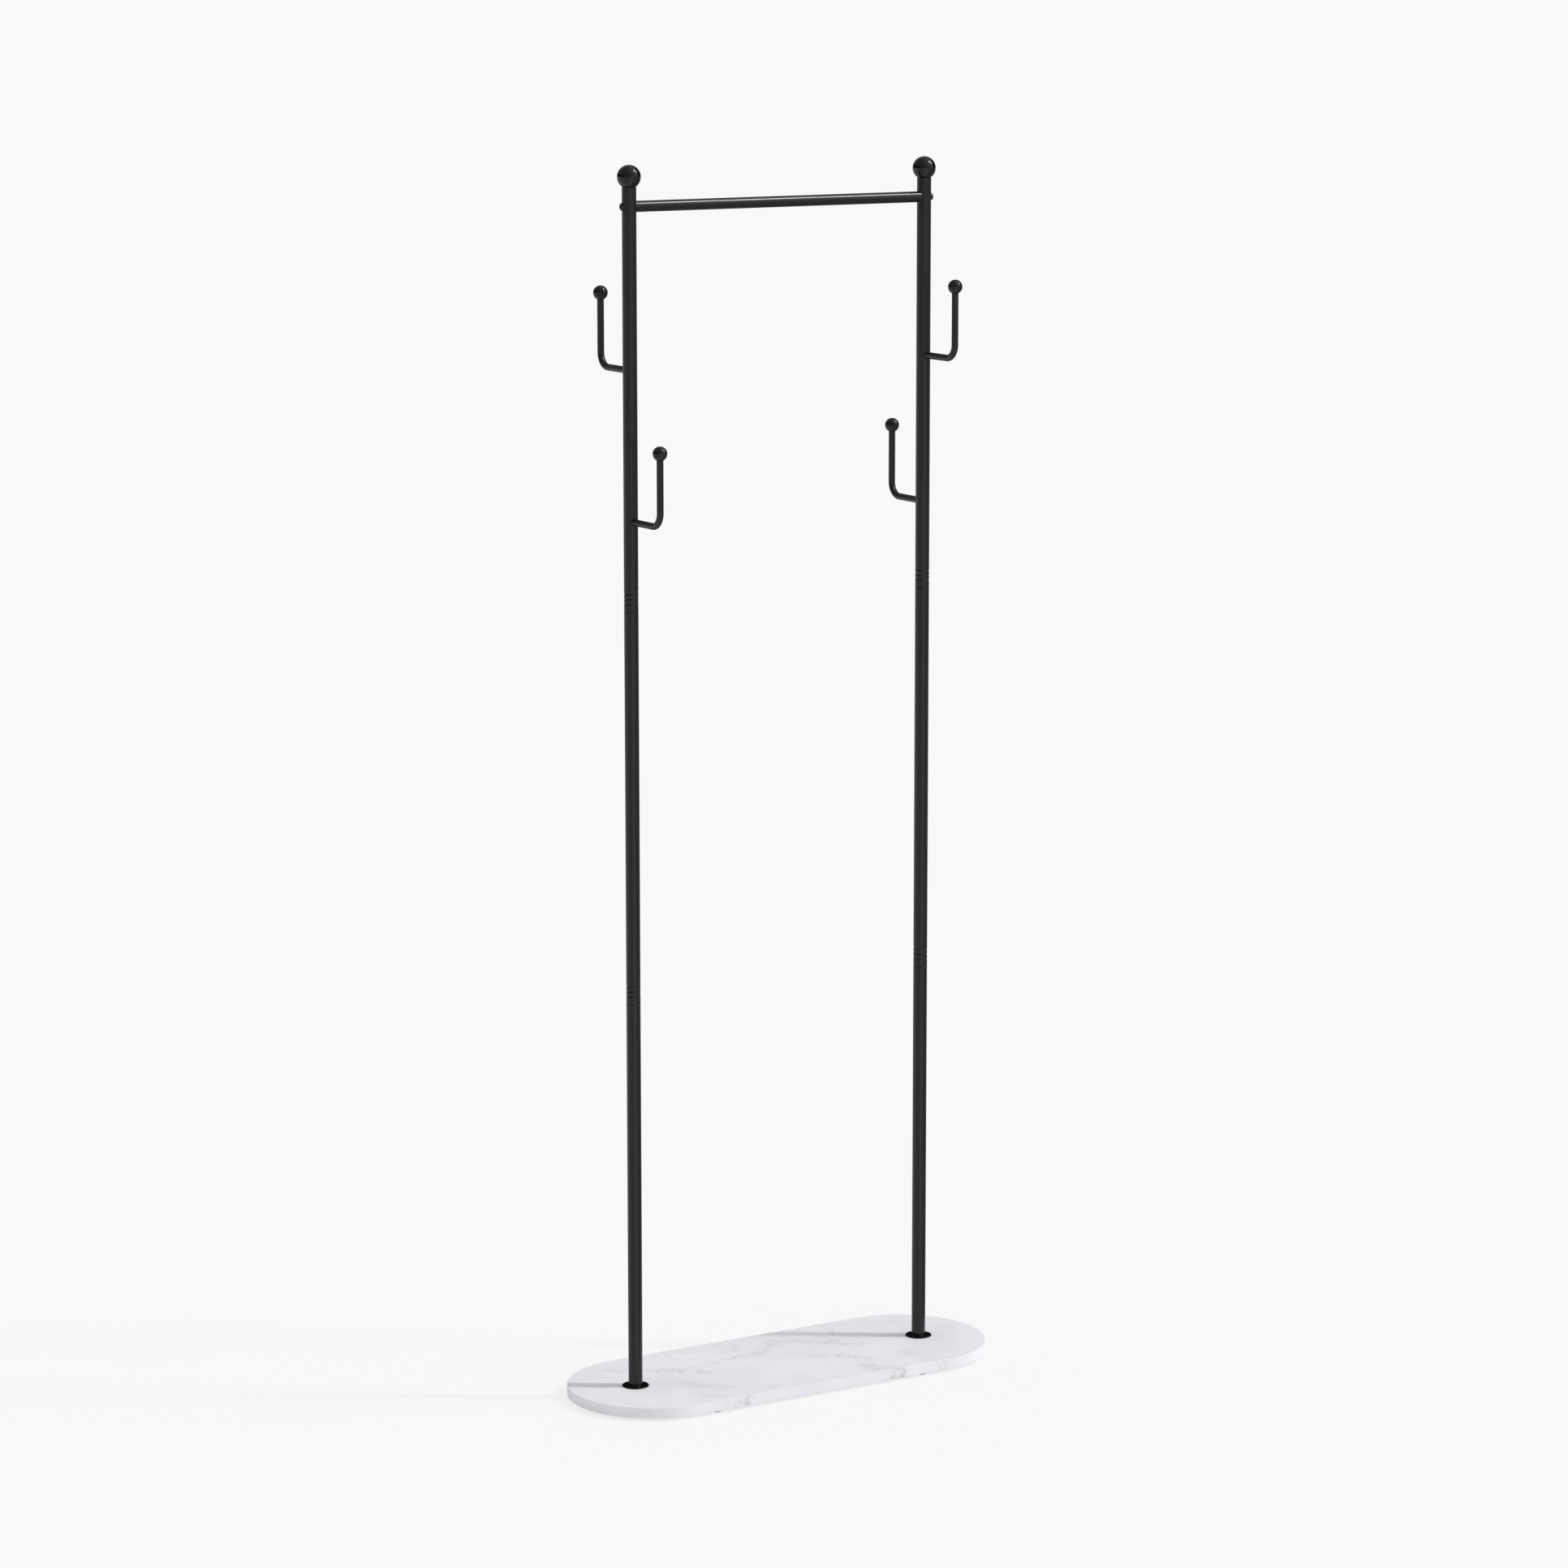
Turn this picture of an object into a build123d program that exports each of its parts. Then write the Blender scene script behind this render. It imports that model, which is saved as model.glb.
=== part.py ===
from build123d import *
import math
import os

# A standing coat rack: two screw-together tube posts on a stone slab, a crossbar and four hooks.
# Millimetres, +Z up. The origin is on the floor under the slab's centre, and the posts stand along X.

# Posts: three lengths of steel tube each, measured between their seams
post_spacing = 480.0
tube_diameter = 20.0
tube_wall = 1.2
lower_tube_length = 553.0
middle_tube_length = 555.0
upper_tube_length = 585.0
seam_chamfer = 0.4

# Screw joint between two lengths: a swaged neck with a coarse thread rolled through socket and neck
neck_length = 34.0
neck_wall = 1.6
shoulder_length = 4.0
thread_pitch = 6.9
thread_turns = 3
thread_round = 0.75
thread_start = 9.2
thread_start_angle = 58.6

# Stone slab with round ends
slab_length = 667.0
slab_width = 249.5
slab_thickness = 15.0
slab_arris = 0.6

# Rubber bumpers under the slab
foot_height = 4.0
foot_top_diameter = 12.0
foot_tip_diameter = 8.0
foot_spacing = 344.0
foot_edge_inset = 11.0

# Flange under each post: a thin disc, a low collar that the tube stands on, and a spigot inside it
flange_diameter = 38.3
flange_thickness = 1.5
flange_edge_round = 0.6
collar_height = 2.6
collar_inset = 0.7
spigot_height = 8.0

# Bolt that draws each post down onto the slab
base_bolt_diameter = 8.0
base_bolt_head_width = 13.0
base_bolt_head_height = 5.3
base_bolt_engagement = 16.0
base_washer_diameter = 20.0
base_washer_thickness = 1.6
counterbore_diameter = 24.0
counterbore_depth = 8.0
foot_insert_length = 22.0

# Ball on top of each post, on a stud in a plug
finial_diameter = 32.8
finial_seat_inset = 0.3
finial_stud_diameter = 8.0
finial_stud_in_ball = 12.0
finial_stud_in_insert = 13.0
top_insert_length = 16.0
top_insert_setback = 1.0

# Crossbar, held by a domed bolt through each post into a plug in the bar's end
bar_diameter = 15.4
bar_wall = 1.2
bar_drop = 27.1
bar_insert_length = 24.0
bar_insert_setback = 0.5
bar_bolt_diameter = 6.0
bar_bolt_engagement = 18.0
bar_bolt_head_diameter = 10.8
bar_bolt_head_height = 2.6
bar_bolt_head_rim = 0.5
bar_bolt_socket_width = 4.0
bar_bolt_socket_depth = 1.5
bar_washer_diameter = 11.2
bar_washer_thickness = 0.6

# Hooks bent from round rod, each with a stud at the post and a ball on its tip
hook_rod_diameter = 9.5
hook_reach = 81.4
hook_bend_radius = 20.0
hook_rise = 101.5
upper_hook_height = 334.1
lower_hook_height = 125.4
hook_stud_diameter = 6.0
hook_stud_length = 12.0
hook_seat_depth = 2.0
hook_insert_length = 20.0
hook_ball_diameter = 20.4
hook_ball_seat_inset = 0.2
hook_spigot_diameter = 6.0
hook_spigot_length = 8.0

# Clearances, on the radius unless they are called end gaps
fit_gap = 0.05
running_gap = 0.05
neck_gap = 0.1
thread_gap = 0.1
bolt_hole_gap = 0.25
shoulder_end_gap = 0.3
blind_end_gap = 1.0
cut_margin = 1.0

# Radii and heights that follow from the sizes above
tube_radius = tube_diameter / 2
tube_bore = tube_radius - tube_wall
insert_radius = tube_bore - fit_gap
neck_radius = tube_bore - neck_gap
neck_bore = neck_radius - neck_wall
slab_bottom = foot_height
slab_top = slab_bottom + slab_thickness
tube_bottom = slab_top + flange_thickness + collar_height
lower_seam = tube_bottom + lower_tube_length
upper_seam = lower_seam + middle_tube_length
tube_top = upper_seam + upper_tube_length
bar_height = tube_top - bar_drop
hook_rod_radius = hook_rod_diameter / 2
hook_stud_radius = hook_stud_diameter / 2
hook_shoulder = tube_bore - hook_seat_depth
hook_seat_radius = hook_rod_radius - hook_ball_seat_inset

# The rack is the same after half a turn about Z, so each piece is made on the right and turned over
SIDE_TURNS = {"right": 0.0, "left": 180.0}
HOOK_HEIGHTS = {"upper": upper_seam + upper_hook_height, "lower": upper_seam + lower_hook_height}
# On the right post the upper hook points to the front and the lower one to the back
HOOK_TURNS = {"upper": 180.0, "lower": 0.0}
# The thread slopes the other way on the right post
LEFT_HANDED = {"right": True, "left": False}
UPWARD = (Align.CENTER, Align.CENTER, Align.MIN)


def upright(radius, bottom, top):
    """Round bar on the Z axis between two heights."""
    return Pos(0, 0, bottom) * Cylinder(radius, top - bottom, align=UPWARD)


def along_x(radius, start, end, height):
    """Round bar along X between two distances from the post's axis."""
    return Pos(start, 0, height) * Rot(0, 90, 0) * Cylinder(radius, end - start, align=UPWARD)


def along_y(radius, start, end, height):
    """Round bar along Y between two distances from the post's axis."""
    return Pos(0, start, height) * Rot(-90, 0, 0) * Cylinder(radius, end - start, align=UPWARD)


def at_post(side, shape):
    """Move a piece from the Z axis to its post."""
    return Rot(0, 0, SIDE_TURNS[side]) * Pos(post_spacing / 2, 0, 0) * shape


def at_both_posts(shape):
    """The same piece at each post, as a group of separate solids."""
    return Compound(children=[at_post(side, shape) for side in SIDE_TURNS])


def flatted_ball(diameter, seat_radius, seat, hole_radius, hole_depth):
    """Ball with a flat of the given radius at the seat's height, and a blind hole up from that flat."""
    radius = diameter / 2
    centre = seat + math.sqrt(radius**2 - seat_radius**2)
    ball = Pos(0, 0, centre) * Sphere(radius)
    ball -= upright(radius, seat - diameter, seat)
    return ball - upright(hole_radius, seat - cut_margin, seat + hole_depth)


# Base

def base_slab():
    """Stadium-shaped slab with a counterbored hole under each post."""
    slab = Pos(0, 0, slab_bottom) * extrude(SlotOverall(slab_length, slab_width), slab_thickness)
    rims = slab.edges().group_by(Axis.Z)
    slab = fillet(rims[0] + rims[-1], slab_arris)
    hole = upright(base_bolt_diameter / 2 + bolt_hole_gap, slab_bottom - cut_margin, slab_top + cut_margin)
    pocket = upright(counterbore_diameter / 2, slab_bottom - cut_margin, slab_bottom + counterbore_depth)
    return slab - at_both_posts(hole + pocket)


def base_feet():
    """Four tapered bumpers under the slab, set in from its long edges."""
    row_spacing = slab_width - 2 * foot_edge_inset
    foot = Cone(foot_tip_diameter / 2, foot_top_diameter / 2, foot_height, align=UPWARD)
    return Compound(children=[place * foot for place in GridLocations(foot_spacing, row_spacing, 2, 2)])


def base_flange():
    """Disc, collar and spigot in one turned piece, bored for the bolt."""
    disc_top = slab_top + flange_thickness
    disc = upright(flange_diameter / 2, slab_top, disc_top)
    disc = fillet(disc.edges().group_by(Axis.Z)[-1], flange_edge_round)
    collar = upright(tube_radius - collar_inset, slab_top, tube_bottom)
    spigot_top = tube_bottom + spigot_height
    spigot = upright(insert_radius, slab_top, spigot_top)
    hole = upright(base_bolt_diameter / 2 + bolt_hole_gap, slab_top - cut_margin, spigot_top + cut_margin)
    return disc + collar + spigot - hole


def foot_insert():
    """Threaded plug in the foot of the lower tube, resting on the flange's spigot."""
    bottom = tube_bottom + spigot_height
    top = bottom + foot_insert_length
    plug = upright(insert_radius, bottom, top)
    return plug - upright(base_bolt_diameter / 2 + fit_gap, bottom - cut_margin, top + cut_margin)


def base_washer():
    """Plain washer against the roof of the slab's counterbore."""
    seat = slab_bottom + counterbore_depth
    washer = upright(base_washer_diameter / 2, seat - base_washer_thickness, seat)
    return washer - upright(base_bolt_diameter / 2 + bolt_hole_gap, slab_bottom, slab_top)


def base_bolt():
    """Hexagon bolt from below, through slab and flange into the foot insert."""
    head_top = slab_bottom + counterbore_depth - base_washer_thickness
    hexagon = RegularPolygon(base_bolt_head_width / 2, 6, major_radius=False)
    head = Pos(0, 0, head_top - base_bolt_head_height) * extrude(hexagon, base_bolt_head_height)
    shank_top = tube_bottom + spigot_height + base_bolt_engagement
    return head + upright(base_bolt_diameter / 2, head_top, shank_top)


# Posts

def thread_coil(coil_radius, wire_radius, seam, side):
    """Round wire wound along the screw joint's helix, above the given seam."""
    path = Helix(thread_pitch, thread_pitch * thread_turns, coil_radius, lefthand=LEFT_HANDED[side])
    section = Plane(origin=path @ 0, z_dir=path % 0) * Circle(wire_radius)
    coil = sweep(section, path, is_frenet=True)
    return Pos(0, 0, seam + thread_start) * Rot(0, 0, thread_start_angle - SIDE_TURNS[side]) * coil


def tube_blank(bottom, top):
    """Solid round of the tube's size with both ends chamfered."""
    blank = upright(tube_radius, bottom, top)
    rims = blank.edges().group_by(Axis.Z)
    return chamfer(rims[0] + rims[-1], seam_chamfer)


def add_neck(blank, bottom, seam, side):
    """Bore a blank and swage its top end down to a threaded neck above the seam."""
    neck_top = seam + neck_length
    tube = blank + upright(neck_radius, seam - shoulder_length, neck_top)
    tube -= upright(tube_bore, bottom - cut_margin, seam - shoulder_length)
    tube -= upright(neck_bore, bottom - cut_margin, neck_top + cut_margin)
    return tube - thread_coil(tube_bore, thread_round + thread_gap, seam, side)


def roll_socket(tube, seam, side):
    """Roll the thread into the bottom end of a tube: a groove outside and a ridge inside."""
    grooved = tube - thread_coil(tube_radius, thread_round, seam, side)
    return grooved + thread_coil(tube_bore, thread_round, seam, side)


def lower_tube(side):
    """Foot length of a post."""
    return add_neck(tube_blank(tube_bottom, lower_seam), tube_bottom, lower_seam, side)


def middle_tube(side):
    """Middle length of a post, with a socket below and a neck above."""
    tube = add_neck(tube_blank(lower_seam, upper_seam), lower_seam, upper_seam, side)
    return roll_socket(tube, lower_seam, side)


def upper_tube(side):
    """Top length of a post, drilled for the crossbar's bolt and two hooks."""
    tube = tube_blank(upper_seam, tube_top)
    tube -= upright(tube_bore, upper_seam - cut_margin, tube_top + cut_margin)
    tube = roll_socket(tube, upper_seam, side)
    far_face = tube_radius + cut_margin
    tube -= along_x(bar_bolt_diameter / 2 + bolt_hole_gap, -far_face, far_face, bar_height)
    for level, height in HOOK_HEIGHTS.items():
        tube -= Rot(0, 0, HOOK_TURNS[level]) * along_y(hook_rod_radius + running_gap, 0, far_face, height)
    return tube


# Finials

def top_insert():
    """Threaded plug in the top of the upper tube."""
    top = tube_top - top_insert_setback
    plug = upright(insert_radius, top - top_insert_length, top)
    return plug - upright(finial_stud_diameter / 2 + fit_gap, top - finial_stud_in_insert, top + cut_margin)


def finial_stud():
    """Threaded stud from the top insert into the ball."""
    bottom = tube_top - top_insert_setback - finial_stud_in_insert
    return upright(finial_stud_diameter / 2, bottom, tube_top + finial_stud_in_ball)


def finial():
    """Ball on the tube's top edge."""
    hole_radius = finial_stud_diameter / 2 + fit_gap
    hole_depth = finial_stud_in_ball + blind_end_gap
    return flatted_ball(finial_diameter, tube_radius - finial_seat_inset, tube_top, hole_radius, hole_depth)


# Crossbar

def crossbar():
    """Tube between the posts, its ends coped to their round faces."""
    half_length = post_spacing / 2
    bar = along_x(bar_diameter / 2, -half_length, half_length, bar_height)
    bar -= along_x(bar_diameter / 2 - bar_wall, -half_length, half_length, bar_height)
    cope = upright(tube_radius + fit_gap, bar_height - bar_diameter, bar_height + bar_diameter)
    return bar - at_both_posts(cope)


def bar_insert():
    """Threaded plug in the bar's end."""
    outer_end = -(tube_radius + bar_insert_setback)
    inner_end = outer_end - bar_insert_length
    plug = along_x(bar_diameter / 2 - bar_wall - fit_gap, inner_end, outer_end, bar_height)
    hole_radius = bar_bolt_diameter / 2 + fit_gap
    return plug - along_x(hole_radius, inner_end - cut_margin, outer_end + cut_margin, bar_height)


def crossbar_washer():
    """Washer between the bolt's flat head and the post's round face."""
    outer_face = tube_radius + bar_washer_thickness
    washer = along_x(bar_washer_diameter / 2, 0, outer_face, bar_height)
    washer -= upright(tube_radius + fit_gap, bar_height - outer_face, bar_height + outer_face)
    return washer - along_x(bar_bolt_diameter / 2 + bolt_hole_gap, 0, outer_face + cut_margin, bar_height)


def crossbar_bolt():
    """Low domed bolt with a hexagon socket, from the post's outer face into the bar's insert."""
    head_start = tube_radius + bar_washer_thickness
    head_end = head_start + bar_bolt_head_height
    head = along_x(bar_bolt_head_diameter / 2, head_start, head_end, bar_height)
    head = fillet(head.edges().group_by(Axis.X)[-1], bar_bolt_head_height - bar_bolt_head_rim)
    hexagon = RegularPolygon(bar_bolt_socket_width / 2, 6, major_radius=False)
    socket = Pos(head_end, 0, bar_height) * Rot(0, -90, 0) * extrude(hexagon, bar_bolt_socket_depth)
    shank_end = -(tube_radius + bar_insert_setback + bar_bolt_engagement)
    return head - socket + along_x(bar_bolt_diameter / 2, shank_end, head_start, bar_height)


# Hooks, made pointing along +Y from the Z axis with the arm at height zero

def hook_seat():
    """Height of the ball's flat above the arm's axis."""
    return hook_rise - math.sqrt((hook_ball_diameter / 2) ** 2 - hook_seat_radius**2)


def hook():
    """Bent rod with a turned-down stud at the post and a spigot for the ball."""
    start = (0, hook_shoulder, 0)
    corner = (0, hook_reach, 0)
    tip = (0, hook_reach, hook_seat())
    path = FilletPolyline(start, corner, tip, radius=hook_bend_radius)
    rod = sweep(Plane(origin=start, z_dir=(0, 1, 0)) * Circle(hook_rod_radius), path)
    stud = along_y(hook_stud_radius, hook_shoulder - hook_stud_length, hook_shoulder, 0)
    spigot = Pos(tip) * Cylinder(hook_spigot_diameter / 2, hook_spigot_length, align=UPWARD)
    return rod + stud + spigot


def hook_ball():
    """Ball on the hook's tip."""
    hole_radius = hook_spigot_diameter / 2 + fit_gap
    hole_depth = hook_spigot_length + blind_end_gap
    ball = flatted_ball(hook_ball_diameter, hook_seat_radius, hook_seat(), hole_radius, hole_depth)
    return Pos(0, hook_reach, 0) * ball


def hook_insert():
    """Plug inside the post, with a pocket for the rod's shoulder and a threaded hole for its stud."""
    plug = upright(insert_radius, -hook_insert_length / 2, hook_insert_length / 2)
    pocket_floor = hook_shoulder - shoulder_end_gap
    pocket = along_y(hook_rod_radius + running_gap, pocket_floor, tube_radius, 0)
    hole_end = hook_shoulder - hook_stud_length - blind_end_gap
    return plug - pocket - along_y(hook_stud_radius + running_gap, hole_end, tube_radius, 0)


def at_hook(side, level, shape):
    """Move a hook's piece from the Z axis to its place on a post."""
    return at_post(side, Pos(0, 0, HOOK_HEIGHTS[level]) * Rot(0, 0, HOOK_TURNS[level]) * shape)


def all_pieces():
    """Every piece of the rack by name, in place."""
    pieces = {
        "base_slab": base_slab(),
        "base_feet": base_feet(),
        "base_bolts": at_both_posts(base_bolt()),
        "base_washers": at_both_posts(base_washer()),
        "finial_studs": at_both_posts(finial_stud()),
        "crossbar": crossbar(),
        "crossbar_bolts": at_both_posts(crossbar_bolt()),
        "crossbar_washers": at_both_posts(crossbar_washer()),
    }
    for side in SIDE_TURNS:
        pieces[f"{side}_base_flange"] = at_post(side, base_flange())
        pieces[f"{side}_foot_insert"] = at_post(side, foot_insert())
        pieces[f"{side}_lower_tube"] = at_post(side, lower_tube(side))
        pieces[f"{side}_middle_tube"] = at_post(side, middle_tube(side))
        pieces[f"{side}_upper_tube"] = at_post(side, upper_tube(side))
        pieces[f"{side}_top_insert"] = at_post(side, top_insert())
        pieces[f"{side}_finial"] = at_post(side, finial())
        pieces[f"{side}_bar_insert"] = at_post(side, bar_insert())
        for level in HOOK_HEIGHTS:
            pieces[f"{side}_{level}_hook"] = at_hook(side, level, hook())
            pieces[f"{side}_{level}_hook_ball"] = at_hook(side, level, hook_ball())
            pieces[f"{side}_{level}_hook_insert"] = at_hook(side, level, hook_insert())
    return pieces


os.makedirs("parts", exist_ok=True)
for name, piece in all_pieces().items():
    export_step(piece, f"parts/{name}.step")
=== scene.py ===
"""Standing coat rack: its finishes, its rolled, turned and bent pieces, and a plain studio around it."""

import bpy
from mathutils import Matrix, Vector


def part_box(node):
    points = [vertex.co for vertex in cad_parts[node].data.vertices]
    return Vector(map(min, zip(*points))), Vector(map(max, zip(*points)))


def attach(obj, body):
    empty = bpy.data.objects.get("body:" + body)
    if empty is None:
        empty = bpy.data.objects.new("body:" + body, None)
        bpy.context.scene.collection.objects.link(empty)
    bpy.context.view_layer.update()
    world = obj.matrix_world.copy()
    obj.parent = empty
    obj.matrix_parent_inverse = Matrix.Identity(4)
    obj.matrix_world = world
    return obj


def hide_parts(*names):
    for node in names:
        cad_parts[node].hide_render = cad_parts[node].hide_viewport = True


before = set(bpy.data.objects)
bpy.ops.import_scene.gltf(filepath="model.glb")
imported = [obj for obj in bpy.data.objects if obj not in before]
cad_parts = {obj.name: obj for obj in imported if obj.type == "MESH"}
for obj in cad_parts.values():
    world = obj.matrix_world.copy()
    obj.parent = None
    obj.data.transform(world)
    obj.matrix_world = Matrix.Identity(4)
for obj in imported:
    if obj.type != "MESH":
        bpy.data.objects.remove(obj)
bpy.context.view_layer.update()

import logging
import math
from dataclasses import dataclass, field
from enum import Enum

import bmesh
import bpy
import numpy as np
from bpy.types import Material, Mesh, NodeSocket, NodeTree, Object

LOG = logging.getLogger("coat_rack")
MM = 0.001
STAND = "stand"
Pair = tuple[float, float]
Triple = tuple[float, float, float]
# Faces that meet at more than this angle keep a crisp edge.
CRISP_ANGLE = math.radians(38)
# Points of a mesh closer than this, in metres, are joined.
SAME_POINT = 1e-7
# A colour mix's sockets by number, as its other types have sockets of the same names.
COLOUR_A = 6
COLOUR_B = 7


class Side(Enum):
    """The two posts."""

    LEFT = "left"
    RIGHT = "right"

    @property
    def helix(self) -> int:
        """Way the rolled thread climbs: 1 is right-handed, -1 left-handed."""
        return 1 if self is Side.LEFT else -1


class Level(Enum):
    """The two hooks on a post."""

    UPPER = "upper"
    LOWER = "lower"


class Length(Enum):
    """The three tubes that a post screws together from."""

    LOWER = "lower"
    MIDDLE = "middle"
    UPPER = "upper"


def box_mm(node: str) -> tuple[np.ndarray, np.ndarray]:
    """Corners of a CAD node in millimetres.

    Args:
        node: name of the CAD node.

    Returns:
        The lowest and the highest corner.
    """
    low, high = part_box(node)
    return np.array(low) / MM, np.array(high) / MM


def linear(colour: str) -> tuple[float, ...]:
    """Turn an sRGB colour into linear light.

    Args:
        colour: hex value such as "#e2e3e6".

    Returns:
        Red, green, blue and an alpha of 1.
    """
    channels = [int(colour[i:i + 2], 16) / 255 for i in (1, 3, 5)]
    light = [c / 12.92 if c <= 0.04045 else ((c + 0.055) / 1.055) ** 2.4 for c in channels]
    return *light, 1.0


def add_node(
    tree: NodeTree, kind: str, inputs: dict | None = None, output: str = "", **settings: object,
) -> NodeSocket:
    """Add one node to a material or world.

    Args:
        tree: node tree that gets it.
        kind: Blender's name for the node type, without its leading "ShaderNode".
        inputs: constant values, or the output sockets that feed them, by input name or number.
        output: name of the output that is wanted, if not the first one in use.
        settings: values by property name.

    Returns:
        That output of the new node.
    """
    node = tree.nodes.new(f"ShaderNode{kind}")
    for name, value in settings.items():
        setattr(node, name, value)
    for name, value in (inputs or {}).items():
        if isinstance(value, NodeSocket):
            tree.links.new(value, node.inputs[name])
        else:
            node.inputs[name].default_value = value
    return node.outputs[output] if output else next(socket for socket in node.outputs if socket.enabled)


@dataclass(frozen=True)
class Pattern:
    """A cloudy pattern in a finish.

    Attributes:
        size_mm: size of its patches.
        detail: number of finer patterns laid over the first.
        harshness: how strong the finer ones are.
        swirl: how far the pattern is twisted.
        stretch: scale of the coordinates along x, y and z, to draw patches out into lines.
        span: values between which the pattern is spread over its levels; as it comes if there are none.
        levels: lowest and highest level.
        eased: whether the levels run smoothly into flat ends.
    """

    size_mm: float
    detail: float
    harshness: float = 0.5
    swirl: float = 0.0
    stretch: Triple | None = None
    span: Pair | None = None
    levels: Pair = (0.0, 1.0)
    eased: bool = True

    def draw(self, tree: NodeTree, place: NodeSocket, output: str = "") -> NodeSocket:
        """Draw the pattern.

        Args:
            tree: the material's node tree.
            place: the coordinates that it is drawn in, in metres.
            output: "Color" for three levels, not one.

        Returns:
            Its level at each spot.
        """
        if self.stretch:
            place = add_node(tree, "Mapping", {"Vector": place, "Scale": self.stretch})
        level = add_node(tree, "TexNoise", {
            "Vector": place, "Scale": 1 / (self.size_mm * MM), "Detail": self.detail,
            "Roughness": self.harshness, "Distortion": self.swirl,
        }, output)
        if self.span:
            (low, high), (least, most) = self.span, self.levels
            level = add_node(
                tree, "MapRange",
                {"Value": level, "From Min": low, "From Max": high, "To Min": least, "To Max": most},
                interpolation_type="SMOOTHSTEP" if self.eased else "LINEAR",
            )
        return level


@dataclass(frozen=True)
class Finish:
    """A surface in two colours with a fine relief.

    Attributes:
        name: name of the material.
        colour: main sRGB colour.
        tint: colour of the patches on it.
        roughness: mean roughness of the surface.
        patches: where the tint shows.
        grain: the relief.
        relief: strength of the relief, from 0 to 1.
        relief_mm: height of the relief.
        drift: how far the roughness drifts either way; 0 where it is even.
        drift_span: values of its pattern between which it drifts.
        ior: index of refraction.
        specular: strength of the reflections, 0.5 being the shader's own.
        metallic: 1 for a bare metal, 0 for anything else.
    """

    name: str
    colour: str
    tint: str
    roughness: float
    patches: Pattern
    grain: Pattern
    relief: float
    relief_mm: float
    drift: float = 0.0
    drift_span: Pair = (0.3, 0.7)
    ior: float = 1.5
    specular: float = 0.5
    metallic: float = 0.0

    def draw(self, tree: NodeTree, place: NodeSocket) -> tuple[NodeSocket, NodeSocket, NodeSocket]:
        """Draw the finish's colours and patterns.

        Args:
            tree: the material's node tree.
            place: the object's own coordinates.

        Returns:
            The colour, and the patterns of the relief and of the drifting roughness.
        """
        patches = self.patches.draw(tree, place)
        colours = {COLOUR_A: linear(self.colour), COLOUR_B: linear(self.tint)}
        tone = add_node(tree, "Mix", {"Factor": patches, **colours}, data_type="RGBA")
        return tone, self.grain.draw(tree, place), patches

    def build(self) -> Material:
        """Make the material.

        Returns:
            The finished material.
        """
        material = bpy.data.materials.new(self.name)
        material.use_nodes = True
        material.diffuse_color = linear(self.colour)
        tree = material.node_tree
        shader = tree.nodes["Principled BSDF"].inputs
        constants = {
            "Base Color": linear(self.colour), "Roughness": self.roughness, "IOR": self.ior,
            "Specular IOR Level": self.specular, "Metallic": self.metallic,
        }
        for name, value in constants.items():
            shader[name].default_value = value
        tone, grain, drifting = self.draw(tree, add_node(tree, "TexCoord", output="Object"))
        relief = {"Height": grain, "Strength": self.relief, "Distance": self.relief_mm * MM}
        tree.links.new(tone, shader["Base Color"])
        tree.links.new(add_node(tree, "Bump", relief), shader["Normal"])
        if self.drift:
            sheen = add_node(tree, "MapRange", {
                "Value": drifting, "From Min": self.drift_span[0], "From Max": self.drift_span[1],
                "To Min": self.roughness - self.drift, "To Max": self.roughness + self.drift,
            })
            tree.links.new(sheen, shader["Roughness"])
        return material


@dataclass(frozen=True)
class PowderCoat(Finish):
    """Black polyester powder on steel, sprayed dry and baked.

    It melts to a satin skin with faint orange peel, so the eye sees soft-edged reflections in near black,
    barely paler and duller in wide patches. Real dimples are 1 to 2 mm wide, drawn wider so that they show.
    """

    patches: Pattern = Pattern(70, detail=4.0, harshness=0.6)
    grain: Pattern = Pattern(3.0, detail=2.0)
    relief: float = 0.6
    relief_mm: float = 0.006
    drift: float = 0.04
    ior: float = 1.45


@dataclass(frozen=True)
class Vein:
    """One vein in the slab, seen from above; lengths in millimetres.

    Attributes:
        course: x and y of the points that it passes.
        line: half the width of its thin line.
        band: half the width of the band of wisps round it.
        line_dark: how dark the line is, from 0 to 1.
        band_dark: how dark the wisps are.
    """

    course: tuple[Pair, ...]
    line: float
    band: float
    line_dark: float
    band_dark: float


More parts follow.
